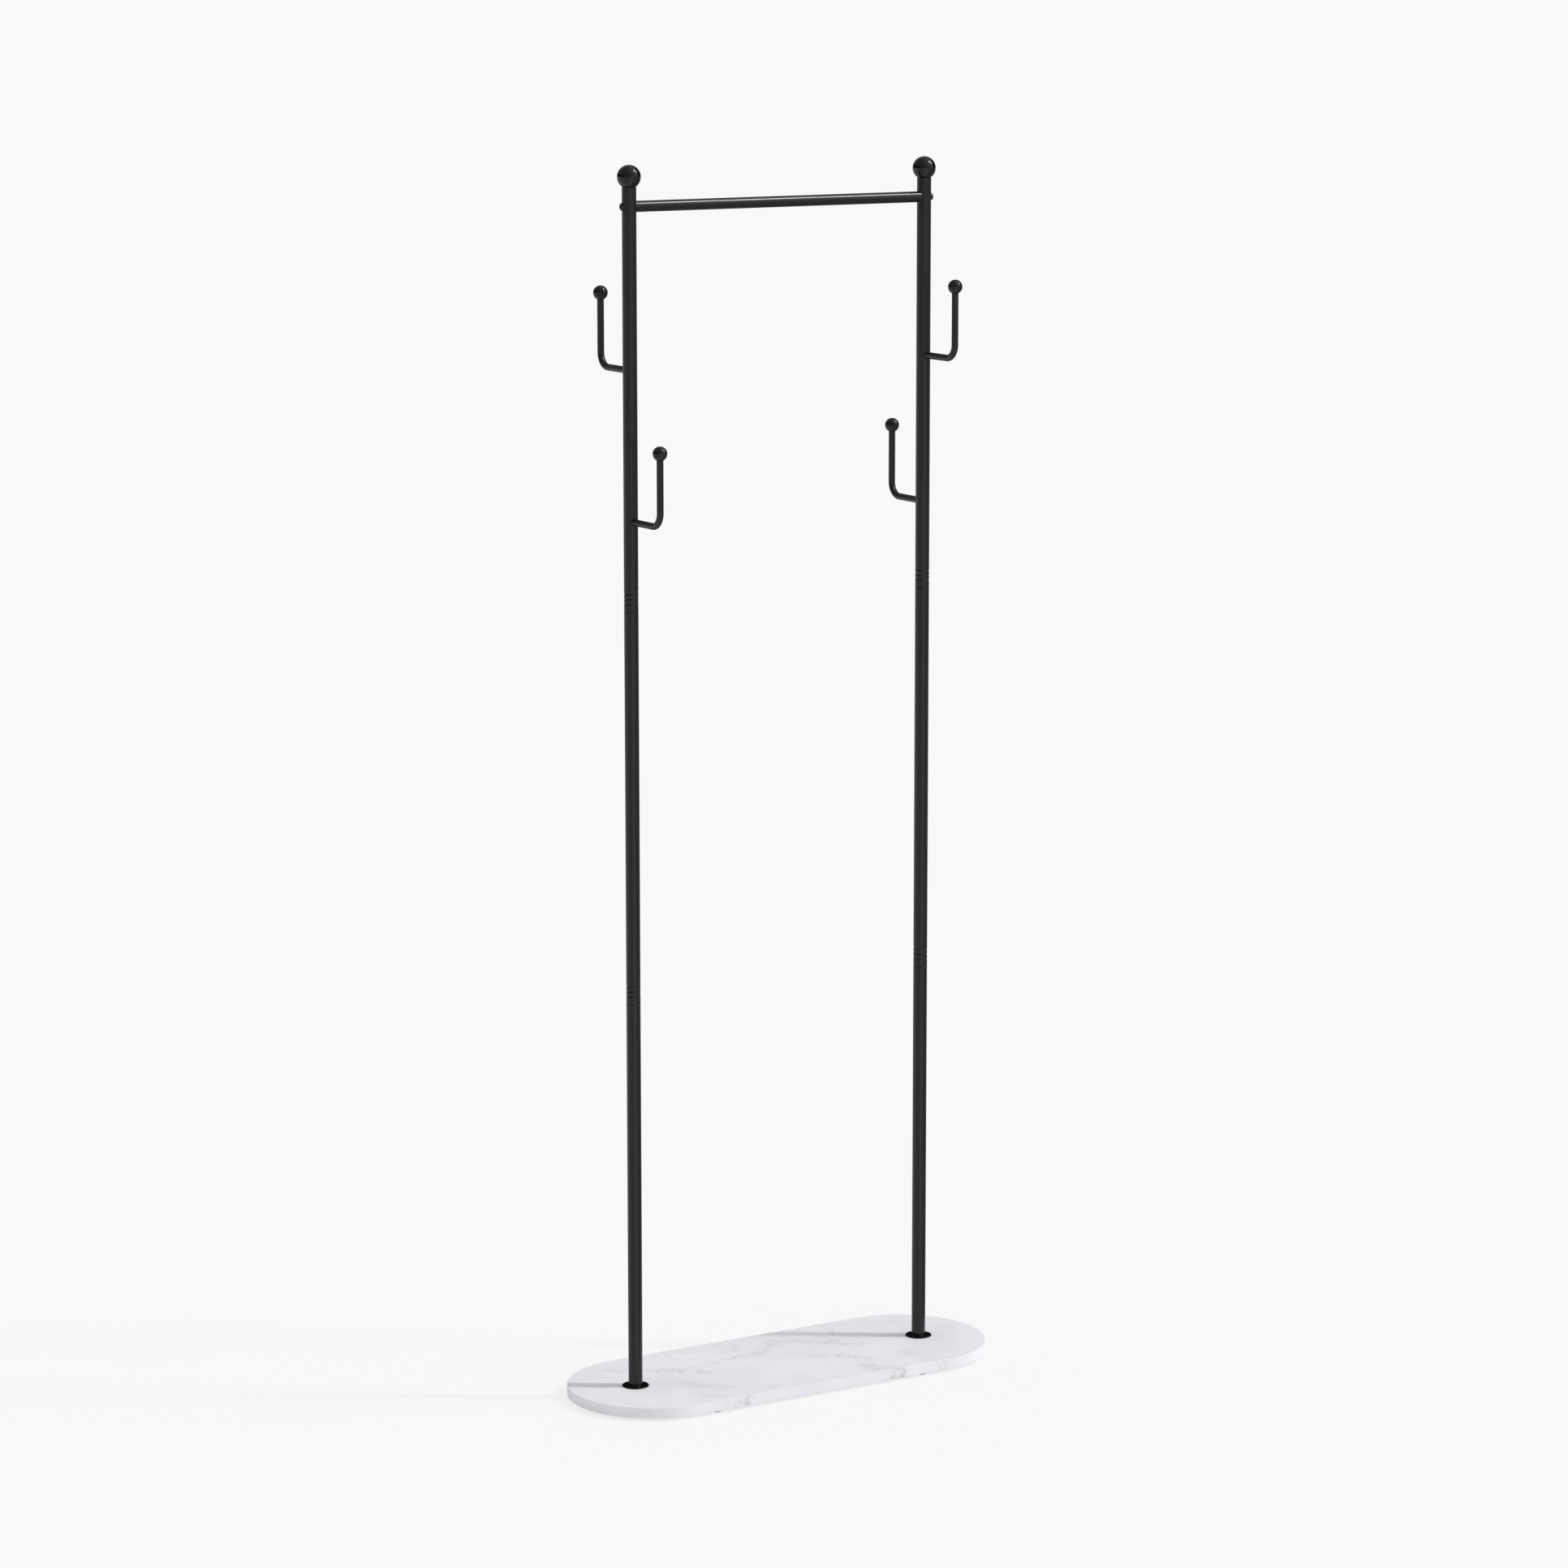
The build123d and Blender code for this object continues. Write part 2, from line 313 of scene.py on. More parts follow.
VEINS = (
    Vein(((-236, 84), (-205, 66), (-172, 46), (-148, 26), (-120, 6)), 1.6, 22, 0.4, 0.6),
    Vein(((-122, 30), (-88, 38), (-60, 41), (-18, 40), (4, 49), (30, 78)), 1.6, 20, 0.4, 0.5),
    Vein(((22, 80), (58, 68), (92, 55), (122, 29), (147, 8)), 1.6, 24, 0.4, 0.62),
    Vein(((-128, 126), (-127, 100), (-126, 80), (-112, 62)), 1.3, 7, 0.6, 0.5),
    Vein(((140, 126), (139, 102), (138, 82), (131, 66)), 1.3, 7, 0.6, 0.5),
    Vein(((-208, -3), (-176, -24), (-147, -60), (-140, -76)), 3, 20, 0.24, 0.34),
    Vein(((52, -6), (90, -27), (120, -61), (127, -80)), 3, 20, 0.26, 0.36),
    Vein(((-178, -84), (-164, -104), (-148, -128)), 3, 20, 0.3, 0.55),
    Vein(((92, -82), (102, -105), (118, -128)), 3, 20, 0.3, 0.55),
    Vein(((-148, -130), (-130, -130)), 15, 15, 0.5, 1.0),
    Vein(((119, -130), (137, -130)), 15, 15, 0.35, 1.0),
    Vein(((-104, -62), (-84, -86), (-64, -126)), 1.6, 30, 0.08, 0.26),
    Vein(((162, -54), (190, -84), (196, -126)), 1.6, 28, 0.08, 0.24),
    Vein(((-96, 66), (-62, 62), (-30, 84)), 1.6, 16, 0.06, 0.22),
    Vein(((232, 96), (262, 40), (300, 12)), 1.6, 14, 0.1, 0.2),
)


@dataclass(frozen=True)
class HonedMarble(Finish):
    """White marble, sawn and honed.

    Cool white ground with soft clouds; thin, broken grey veins in bands of fine grey wisps cut through the
    whole stone, so they pass over its edges. The honed face has only a dull sheen. Its crystals are under
    1 mm wide, drawn wider so that they show.

    Attributes:
        vein: colour of a vein at its darkest.
        ripples: the wide bends and the small jags in a vein, each with its width in millimetres.
        gaps: stretches in which a vein's line shows or fades out.
        wisps: the wisps in a vein's band.
        fades: stretches in which a band shows or fades out.
    """

    patches: Pattern = Pattern(110, detail=5.0, harshness=0.55, span=(0.32, 0.66))
    grain: Pattern = Pattern(2.4, detail=2.0)
    relief: float = 0.15
    relief_mm: float = 0.02
    drift: float = 0.05
    ior: float = 1.48
    specular: float = 0.3
    vein: str = "#868a92"
    ripples: tuple[tuple[Pattern, float], ...] = (
        (Pattern(42, detail=3.0, harshness=0.55), 16),
        (Pattern(12, detail=3.0, harshness=0.55), 8),
    )
    gaps: Pattern = Pattern(14, detail=5.0, harshness=0.7, span=(0.4, 0.64))
    wisps: Pattern = Pattern(
        12, detail=6.0, harshness=0.68, swirl=0.5, span=(0.45, 0.72), levels=(0.08, 1.0),
    )
    fades: Pattern = Pattern(34, detail=3.0, span=(0.36, 0.6), levels=(0.2, 1.0))

    def course(self, tree: NodeTree, spot: NodeSocket, vein: Vein) -> list[NodeSocket]:
        """Darkness that one vein gives each spot of the slab.

        Args:
            tree: the marble's node tree.
            spot: place in plan, in metres, already bent by the stone's noise.
            vein: the vein to draw.

        Returns:
            How dark its line and its band are there, from 0 to 1.
        """
        nearest = None
        points = np.array([(x, y, 0) for x, y in vein.course]) * MM
        for origin, run in zip(points, np.diff(points, axis=0)):
            offset = add_node(tree, "VectorMath", {0: spot, 1: origin}, operation="SUBTRACT")
            along = add_node(tree, "VectorMath", {0: offset, 1: run}, operation="DOT_PRODUCT")
            inverse = 1 / (run @ run)
            share = add_node(tree, "Math", {0: along, 1: inverse}, operation="MULTIPLY", use_clamp=True)
            foot = add_node(tree, "VectorMath", {0: run, "Scale": share}, operation="SCALE")
            gap = add_node(tree, "VectorMath", {0: offset, 1: foot}, operation="DISTANCE")
            if nearest is not None:
                gap = add_node(tree, "Math", {0: nearest, 1: gap}, operation="MINIMUM")
            nearest = gap
        shades = []
        for width, dark in ((vein.line, vein.line_dark), (vein.band, vein.band_dark)):
            reach = {"Value": nearest, "From Max": width * MM, "To Min": dark, "To Max": 0.0}
            shades.append(add_node(tree, "MapRange", reach, interpolation_type="SMOOTHERSTEP"))
        return shades

    def bend(self, tree: NodeTree, place: NodeSocket) -> NodeSocket:
        """Look down on the stone and shift its places sideways, so that straight courses waver.

        Args:
            tree: the marble's node tree.
            place: the object's own coordinates.

        Returns:
            The shifted places in plan, in metres.
        """
        spot = add_node(tree, "Mapping", {"Vector": place, "Scale": (1.0, 1.0, 0.0)})
        for ripple, width in self.ripples:
            noise = ripple.draw(tree, place, output="Color")
            centred = add_node(tree, "VectorMath", {0: noise, 1: (0.5, 0.5, 0.5)}, operation="SUBTRACT")
            sides = (2 * width * MM, 2 * width * MM, 0.0)
            spot = add_node(tree, "VectorMath", {0: centred, 1: sides, 2: spot}, operation="MULTIPLY_ADD")
        return spot

    def draw(self, tree: NodeTree, place: NodeSocket) -> tuple[NodeSocket, NodeSocket, NodeSocket]:
        """Draw the clouds, the veins and the crystals.

        Args:
            tree: the material's node tree.
            place: the object's own coordinates.

        Returns:
            The colour, and the patterns of the relief and of the drifting roughness.
        """
        spot = self.bend(tree, place)
        lines, bands = self.course(tree, spot, VEINS[0])
        for vein in VEINS[1:]:
            line, band = self.course(tree, spot, vein)
            lines = add_node(tree, "Math", {0: lines, 1: line}, operation="MAXIMUM")
            bands = add_node(tree, "Math", {0: bands, 1: band}, operation="MAXIMUM")
        gaps = self.gaps.draw(tree, place)
        broken = add_node(tree, "Math", {0: lines, 1: gaps}, operation="MULTIPLY")
        for pattern, where in ((self.fades, place), (self.wisps, spot)):
            bands = add_node(tree, "Math", {0: bands, 1: pattern.draw(tree, where)}, operation="MULTIPLY")
        dark = add_node(tree, "Math", {0: broken, 1: bands}, operation="MAXIMUM")
        clouds = self.patches.draw(tree, spot)
        colours = {COLOUR_A: linear(self.colour), COLOUR_B: linear(self.tint)}
        ground = add_node(tree, "Mix", {"Factor": clouds, **colours}, data_type="RGBA")
        veined = {"Factor": dark, COLOUR_A: ground, COLOUR_B: linear(self.vein)}
        crystals = self.grain.draw(tree, place)
        return add_node(tree, "Mix", veined, data_type="RGBA"), crystals, crystals


@dataclass(frozen=True)
class ZincPlate(Finish):
    """Turned steel, zinc-plated and passivated.

    A pale grey metal with fine turning lines and a slightly blotchy sheen. Real lines are about 0.1 mm
    apart, drawn wider so that they show.
    """

    patches: Pattern = Pattern(6, detail=4.0)
    grain: Pattern = Pattern(0.8, detail=1.0, stretch=(0.05, 0.05, 1.0))
    relief: float = 0.3
    relief_mm: float = 0.02
    drift: float = 0.12
    drift_span: Pair = (0.0, 1.0)
    metallic: float = 1.0


@dataclass(frozen=True)
class MouldedRubber(Finish):
    """Pale grey rubber from a blasted mould.

    Matt, with a fine pebbled skin and a few paler scuffs. Real pebbles are about 0.2 mm wide, drawn wider
    so that they show.
    """

    patches: Pattern = Pattern(5, detail=5.0, span=(0.5, 0.75), levels=(0.0, 0.6), eased=False)
    grain: Pattern = Pattern(0.6, detail=1.0)
    relief: float = 0.5
    relief_mm: float = 0.05


class Slot(Enum):
    """The record's material slots."""

    SATIN = "satin_black_steel"
    GLOSS = "gloss_black_steel"
    MARBLE = "white_marble"
    ZINC = "zinc_steel"
    RUBBER = "grey_rubber"


FINISHES: dict[Slot, Finish] = {
    Slot.SATIN: PowderCoat("satin_powder_coat", "#0c0c0d", tint="#111112", roughness=0.26),
    Slot.GLOSS: PowderCoat("gloss_powder_coat", "#0a0a0b", tint="#0e0e0f", roughness=0.1, drift=0.02),
    Slot.MARBLE: HonedMarble("honed_white_marble", "#e4e5ea", tint="#ebecf0", roughness=0.55),
    Slot.ZINC: ZincPlate("zinc_plated_steel", "#b8bcc0", tint="#8f9499", roughness=0.36),
    Slot.RUBBER: MouldedRubber("moulded_grey_rubber", "#dcdee0", tint="#e6e7e7", roughness=0.7),
}


@dataclass
class Wardrobe:
    """Builds each finish once and dresses pieces with it.

    Attributes:
        made: materials made so far, by slot.
    """

    made: dict[Slot, Material] = field(default_factory=dict)

    def material(self, slot: Slot) -> Material:
        """Find or make a slot's material.

        Args:
            slot: the record's slot.

        Returns:
            Its material.
        """
        if slot not in self.made:
            self.made[slot] = FINISHES[slot].build()
        return self.made[slot]

    def dress_new(self, piece: Object, slot: Slot, body: str, *nodes: str) -> None:
        """Finish a new piece and put it in the frame.

        Args:
            piece: the new object.
            slot: its finish's slot.
            body: the CAD body that it moves with.
            nodes: the CAD nodes that it stands for.
        """
        piece.data.materials.append(self.material(slot))
        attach(piece, body)
        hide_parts(*nodes)
        LOG.info("%s rides on %s for %s", piece.name, body, ", ".join(nodes))

    def dress_nodes(self, slot: Slot, *nodes: str) -> None:
        """Give CAD nodes their finish.

        Args:
            slot: their finish's slot.
            nodes: names of the CAD nodes.
        """
        for node in nodes:
            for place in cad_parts[node].material_slots:
                place.material = self.material(slot)
            LOG.info("%s keeps its CAD shape in %s", node, slot.value)


def rings_to_object(name: str, rings: np.ndarray, looped: bool) -> Object:
    """Join rings of points into one smooth piece.

    Args:
        name: name of the piece.
        rings: points in mm, shape (rows, points in a ring, 3), with one more axis in front for islands.
        looped: whether the last ring joins the first, as round a hollow tube's wall.

    Returns:
        The new object, in metres, linked to the scene.
    """
    islands = rings if rings.ndim == 4 else rings[np.newaxis]
    points = np.arange(islands[..., 0].size).reshape(islands.shape[:3])
    here = points if looped else points[:, :-1]
    above = np.roll(points, -1, axis=1) if looped else points[:, 1:]
    faces = np.stack([here, np.roll(here, -1, axis=2), np.roll(above, -1, axis=2), above], axis=3)
    mesh = bpy.data.meshes.new(name)
    mesh.from_pydata((islands.reshape(-1, 3) * MM).tolist(), [], faces.reshape(-1, 4).tolist())
    shape = bmesh.new()
    shape.from_mesh(mesh)
    bmesh.ops.remove_doubles(shape, verts=shape.verts, dist=SAME_POINT)
    bmesh.ops.recalc_face_normals(shape, faces=shape.faces)
    shape.to_mesh(mesh)
    shape.free()
    mesh.shade_smooth()
    mesh.set_sharp_from_angle(angle=CRISP_ANGLE)
    piece = bpy.data.objects.new(name, mesh)
    bpy.context.scene.collection.objects.link(piece)
    return piece


def turn(outline: list[Pair], around: int, axis: np.ndarray) -> np.ndarray:
    """Turn an outline about an upright axis.

    Args:
        outline: radius and height of each row, in millimetres.
        around: points in a ring.
        axis: a point on the axis, of which only x and y count.

    Returns:
        Rings of points, shape (rows, around, 3).
    """
    shape = np.array(outline)
    angle = np.linspace(0, 2 * math.pi, around, endpoint=False)
    radius, height = shape[:, :1], shape[:, 1:]
    x = axis[0] + radius * np.cos(angle)
    y = axis[1] + radius * np.sin(angle)
    return np.stack([x, y, height + 0 * angle], axis=2)


def arc(centre: Pair, radius: float, start: float, end: float, steps: int) -> list[Pair]:
    """Points on an arc of an outline.

    Args:
        centre: radius and height of the arc's centre.
        radius: the arc's own radius.
        start: first angle in degrees, from straight out.
        end: last angle in degrees.
        steps: number of pieces that the arc is cut into.

    Returns:
        Radius and height of each point, both ends included.
    """
    angles = np.radians(np.linspace(start, end, steps + 1))
    return [(centre[0] + radius * math.cos(a), centre[1] + radius * math.sin(a)) for a in angles]


@dataclass
class RolledThread:
    """Thread rolled into a tube's wall above each seam; lengths in millimetres.

    Attributes:
        pitch: rise of one turn.
        turns: number of turns.
        start: height of its first end above the seam.
        start_angle: direction of both ends in degrees, towards the back.
        depth: depth of the groove.
        half_width: half the groove's width at the surface.
        run_out: share of a turn over which the groove fades in and out.
        row: height of one row of the mesh.
    """

    pitch: float = 6.9
    turns: float = 3
    start: float = 9.2
    start_angle: float = 58.6
    depth: float = 0.52
    half_width: float = 1.6
    run_out: float = 0.1
    row: float = 0.35

    def heights(self, seam: float) -> list[float]:
        """Heights of the mesh rows that carry the groove.

        Args:
            seam: height of the seam.

        Returns:
            Heights from just below the groove to just above it.
        """
        low = seam + self.start - 2 * self.half_width
        high = seam + self.start + self.turns * self.pitch + 2 * self.half_width
        return list(np.linspace(low, high, round((high - low) / self.row) + 1))

    def groove(self, angle: np.ndarray, height: np.ndarray, helix: int) -> np.ndarray:
        """Depth of the groove at points on the wall.

        Args:
            angle: direction of each point in radians.
            height: height of each point above the seam.
            helix: 1 for a right-handed thread, -1 for a left-handed one.

        Returns:
            How far each point lies inside the plain wall.
        """
        circle = 2 * math.pi
        turned = np.mod(helix * (angle - math.radians(self.start_angle)), circle) / circle
        climbed = (height - self.start) / self.pitch
        away = climbed - turned - np.round(climbed - turned)
        along = climbed - away
        ends = np.clip(np.minimum(along, self.turns - along) / self.run_out, 0, 1)
        across = np.clip(np.abs(away) * self.pitch / self.half_width, 0, 1)
        return self.depth * ends * (1 - across)


@dataclass
class Post:
    """One post of three screwed tubes; lengths in millimetres.

    Attributes:
        side: which post it is.
        thread: the thread rolled above each seam.
        wall: thickness of the tube's wall.
        seam_chamfer: chamfer at the tube's ends.
        neck_length: length of the swaged neck that enters the next tube.
        neck_wall: thickness of the neck's wall.
        neck_gap: gap between the neck and the next tube.
        shoulder: length over which the wall is thicker below the neck.
        around: points in a ring.
        run: height of one row of the plain wall.
    """

    side: Side
    thread: RolledThread = field(default_factory=RolledThread)
    wall: float = 1.2
    seam_chamfer: float = 0.55
    neck_length: float = 34
    neck_wall: float = 1.6
    neck_gap: float = 0.1
    shoulder: float = 4
    around: int = 96
    run: float = 30

    def node(self, length: Length) -> str:
        """Name of one tube's CAD node."""
        return f"{self.side.value}_{length.value}_tube"

    def tube(self, length: Length) -> Object:
        """Build one tube, hollow, with its neck and its rolled thread.

        Args:
            length: which tube it is.

        Returns:
            The new piece.
        """
        low, high = box_mm(self.node(length))
        centre, radius = (low + high) / 2, (high[0] - low[0]) / 2
        bottom, crown = low[2], high[2]
        top = crown if length is Length.UPPER else crown - self.neck_length
        bore, chamfer = radius - self.wall, self.seam_chamfer
        threaded = [] if length is Length.LOWER else self.thread.heights(bottom)
        plain_from = threaded[-1] if threaded else bottom + chamfer
        plain = np.linspace(plain_from, top - chamfer, round((top - plain_from) / self.run) + 1)
        outline = [(bore, bottom), (radius - chamfer, bottom), (radius, bottom + chamfer)]
        first = len(outline)
        outline += [(radius, height) for height in [*threaded, *plain[1:]]]
        outline += [(radius - chamfer, top)]
        if length is Length.UPPER:
            outline += [(bore, top)]
        else:
            neck = bore - self.neck_gap
            throat = neck - self.neck_wall
            outline += [(neck, top), (neck, crown), (throat, crown), (throat, top - self.shoulder)]
            outline += [(bore, top - self.shoulder)]
        rings = turn(outline, self.around, centre)
        if threaded:
            self.roll(rings[first:first + len(threaded)], centre, bottom)
        return rings_to_object(f"{self.node(length)}_rolled", rings, looped=True)

    def roll(self, rings: np.ndarray, centre: np.ndarray, seam: float) -> None:
        """Press the thread into rings of the outer wall.

        Args:
            rings: the rings, changed in place.
            centre: a point on the post's axis.
            seam: height of the seam below the thread.
        """
        out = rings[:, :, :2] - centre[:2]
        radius = np.linalg.norm(out, axis=2)
        angle = np.arctan2(out[:, :, 1], out[:, :, 0])
        inset = self.thread.groove(angle, rings[:, :, 2] - seam, self.side.helix)
        rings[:, :, :2] = centre[:2] + out * ((radius - inset) / radius)[:, :, np.newaxis]

    def dress(self, wardrobe: Wardrobe) -> None:
        """Build and finish the post's tubes."""
        for length in Length:
            wardrobe.dress_new(self.tube(length), Slot.SATIN, STAND, self.node(length))


@dataclass
class Ball:
    """A solid turned ball with a flat seat, on a post's top or a hook's tip; lengths in millimetres.

    Attributes:
        node: name of its CAD node.
        body: the CAD body that it moves with.
        around: points in a ring.
        steps: rows from its seat to its top.
        seat_round: how far inside the ball's outline the seat ends.
        round_deg: how far above the seat the ball's outline starts, in degrees.
    """

    node: str
    body: str
    around: int = 96
    steps: int = 56
    seat_round: float = 0.25
    round_deg: float = 0.6

    def build(self) -> Object:
        """Turn the ball.

        Returns:
            The new piece.
        """
        low, high = box_mm(self.node)
        centre, radius = (low + high) / 2, (high[0] - low[0]) / 2
        middle = high[2] - radius
        seat_angle = math.degrees(math.asin((low[2] - middle) / radius))
        seat = math.sqrt(radius ** 2 - (low[2] - middle) ** 2)
        outline = [(0, low[2]), (seat - self.seat_round, low[2])]
        outline += arc((0, middle), radius, seat_angle + self.round_deg, 90, self.steps)
        outline[-1] = (0, high[2])
        rings = turn(outline, self.around, centre)
        return rings_to_object(f"{self.node}_turned", rings, looped=False)

    def dress(self, wardrobe: Wardrobe) -> None:
        """Build and finish the ball."""
        wardrobe.dress_new(self.build(), Slot.GLOSS, self.body, self.node)


@dataclass
class Flange:
    """The disc and collar that carry a post on the slab; lengths in millimetres.

    Attributes:
        side: which post it carries.
        disc: thickness of the disc.
        edge_round: rounding of the disc's rim.
        edge_steps: pieces that it is cut into.
        collar_inset: how far the collar stands inside the tube's outside.
        root_round: fillet between disc and collar.
        root_steps: pieces that it is cut into.
        spigot_gap: gap between the spigot and the tube's bore.
        bolt_hole: diameter of the hole for the bolt.
        around: points in a ring.
    """

    side: Side
    disc: float = 1.5
    edge_round: float = 0.6
    edge_steps: int = 6
    collar_inset: float = 0.7
    root_round: float = 0.4
    root_steps: int = 5
    spigot_gap: float = 0.05
    bolt_hole: float = 8.5
    around: int = 128

    @property
    def node(self) -> str:
        """Name of the flange's CAD node."""
        return f"{self.side.value}_base_flange"

    def build(self) -> Object:
        """Turn the flange.

        Returns:
            The new piece.
        """
        post = Post(self.side)
        tube_low, tube_high = box_mm(post.node(Length.LOWER))
        low, high = box_mm(self.node)
        centre, radius = (low + high) / 2, (high[0] - low[0]) / 2
        tube = (tube_high[0] - tube_low[0]) / 2
        collar, bore = tube - self.collar_inset, tube - post.wall - self.spigot_gap
        disc_top, seat = low[2] + self.disc, tube_low[2]
        root, rim = self.root_round, self.edge_round
        outline = [(self.bolt_hole / 2, low[2]), (radius, low[2])]
        outline += arc((radius - rim, disc_top - rim), rim, 0, 90, self.edge_steps)
        outline += arc((collar + root, disc_top + root), root, 270, 180, self.root_steps)
        outline += [(collar, seat), (bore, seat), (bore, high[2]), (self.bolt_hole / 2, high[2])]
        rings = turn(outline, self.around, centre)
        return rings_to_object(f"{self.node}_turned", rings, looped=True)

    def dress(self, wardrobe: Wardrobe) -> None:
        """Build and finish the flange."""
        wardrobe.dress_new(self.build(), Slot.GLOSS, STAND, self.node)


@dataclass
class Hook:
    """A J-shaped hook bent from round rod, with its stud and its ball; lengths in millimetres.

    Attributes:
        side: the post that it is on.
        level: which of the post's hooks it is.
        bend: radius of the bend at the rod's middle.
        shoulder: distance of the rod's shoulder from the post's axis.
        stud: diameter of the stud beyond the shoulder.
        stud_length: length of the stud.
        spigot: diameter of the spigot inside the ball.
        around: points in a ring.
        arm_rings: rings from the shoulder to the bend.
        bend_steps: pieces that the bend is cut into.
        rise_rings: rings from the bend to the ball.
    """

    side: Side
    level: Level
    bend: float = 20
    shoulder: float = 6.8
    stud: float = 6
    stud_length: float = 12
    spigot: float = 6
    around: int = 48
    arm_rings: int = 8
    bend_steps: int = 28
    rise_rings: int = 10

    @property
    def name(self) -> str:
        """Name of the hook's CAD node and body."""
        return f"{self.side.value}_{self.level.value}_hook"

    def build(self) -> Object:
        """Bend the rod.

        Returns:
            The new piece.
        """
        low, high = box_mm(self.name)
        ball_low, _ = box_mm(f"{self.name}_ball")
        rod = (high[0] - low[0]) / 2
        middle_x, arm = (low[0] + high[0]) / 2, low[2] + rod
        way = 1 if high[1] > -low[1] else -1
        reach = max(high[1], -low[1]) - rod
        tip, top = ball_low[2], high[2]
        turn_from, turn_up = reach - self.bend, arm + self.bend
        stud_end, stud, spigot = self.shoulder - self.stud_length, self.stud / 2, self.spigot / 2
        upright = math.pi / 2
        # Each ring: distance out from the post, height, angle of the rod above level, radius.
        path = [(stud_end, arm, 0, 0), (stud_end, arm, 0, stud)]
        path += [(self.shoulder, arm, 0, stud), (self.shoulder, arm, 0, rod)]
        path += [(out, arm, 0, rod) for out in np.linspace(self.shoulder, turn_from, self.arm_rings)[1:-1]]
        for angle in np.linspace(0, upright, self.bend_steps + 1):
            out = turn_from + self.bend * math.sin(angle)
            path.append((out, turn_up - self.bend * math.cos(angle), angle, rod))
        path += [(reach, height, upright, rod) for height in np.linspace(turn_up, tip, self.rise_rings)[1:]]
        path += [(reach, tip, upright, spigot), (reach, top, upright, spigot), (reach, top, upright, 0)]
        around = np.linspace(0, 2 * math.pi, self.around, endpoint=False)
        rings = []
        for out, height, angle, radius in path:
            lift = radius * np.sin(around)
            x = middle_x + radius * np.cos(around)
            y = way * (out - lift * math.sin(angle))
            rings.append(np.stack([x, y, height + lift * math.cos(angle)], axis=1))
        return rings_to_object(f"{self.name}_bent", np.array(rings), looped=False)

    def dress(self, wardrobe: Wardrobe) -> None:
        """Build and finish the rod and its ball, and finish its plug.

        Args:
            wardrobe: makes the finishes.
        """
        wardrobe.dress_new(self.build(), Slot.SATIN, self.name, self.name)
        Ball(f"{self.name}_ball", self.name, around=64, steps=40).dress(wardrobe)
        wardrobe.dress_nodes(Slot.ZINC, f"{self.name}_insert")


@dataclass
class Base:
    """The slab, its feet and what bolts the posts to it; lengths in millimetres, angles in degrees.

    Attributes:
        foot_top: diameter of a foot against the slab.
        foot_tip: diameter of the end that it stands on.
        flat_inset: how far that end's flat stops inside its diameter.
        tip_round: rounding of that end's rim.
        tip_inset: how far its middle lies inside the diameter.
        tip_angle: angle at which it starts, from straight out.
        tip_steps: pieces that it is cut into.
        side_angle: angle that the foot's slanting side faces.
        root_round: rounding against the slab.
        root_steps: pieces that it is cut into.
        around: points in a ring.
    """

    foot_top: float = 12
    foot_tip: float = 8
    flat_inset: float = 0.48
    tip_round: float = 1.2
    tip_inset: float = 0.1
    tip_angle: float = -80
    tip_steps: int = 6
    side_angle: float = -15
    root_round: float = 0.4
    root_steps: int = 5
    around: int = 48

    def feet(self) -> Object:
        """Mould the four bumpers.

        Returns:
            One piece with four islands.
        """
        low, high = box_mm("base_feet")
        floor, slab = low[2], high[2]
        top, tip = self.foot_top / 2, self.foot_tip / 2
        rim, root = self.tip_round, self.root_round
        outline = [(0, floor), (tip - self.flat_inset, floor)]
        outline += arc(
            (tip - self.tip_inset, floor + rim), rim, self.tip_angle, self.side_angle, self.tip_steps)
        outline += arc((top - root, slab - root), root, self.side_angle, 90, self.root_steps)
        outline += [(0, slab)]
        half = (high - low) / 2 - top
        places = [(x, y) for x in (-half[0], half[0]) for y in (-half[1], half[1])]
        rings = np.array([turn(outline, self.around, np.array(place)) for place in places])
        return rings_to_object("base_feet_moulded", rings, looped=False)

    def dress(self, wardrobe: Wardrobe) -> None:
        """Build and finish the base.

        Args:
            wardrobe: makes the finishes.
        """
        wardrobe.dress_new(self.feet(), Slot.RUBBER, STAND, "base_feet")
        wardrobe.dress_nodes(Slot.MARBLE, "base_slab")
        for side in Side:
            Flange(side).dress(wardrobe)
            wardrobe.dress_nodes(Slot.ZINC, f"{side.value}_foot_insert")
        wardrobe.dress_nodes(Slot.ZINC, "base_bolts", "base_washers")


class Crossbar:
    """The bar between the posts and its fixings, in their CAD shapes."""

    def dress(self, wardrobe: Wardrobe) -> None:
        """Finish the bar and its fixings.

        Args:
            wardrobe: makes the finishes.
        """
        wardrobe.dress_nodes(Slot.SATIN, "crossbar", "crossbar_washers")
        wardrobe.dress_nodes(Slot.GLOSS, "crossbar_bolts")
        for side in Side:
            wardrobe.dress_nodes(Slot.ZINC, f"{side.value}_bar_insert")


class Tops:
    """The balls on the posts, with the studs and plugs that hold them."""

    def dress(self, wardrobe: Wardrobe) -> None:
        """Build and finish the balls and their fixings.

        Args:
            wardrobe: makes the finishes.
        """
        for side in Side:
            Ball(f"{side.value}_finial", STAND).dress(wardrobe)
            wardrobe.dress_nodes(Slot.ZINC, f"{side.value}_top_insert")
        wardrobe.dress_nodes(Slot.ZINC, "finial_studs")


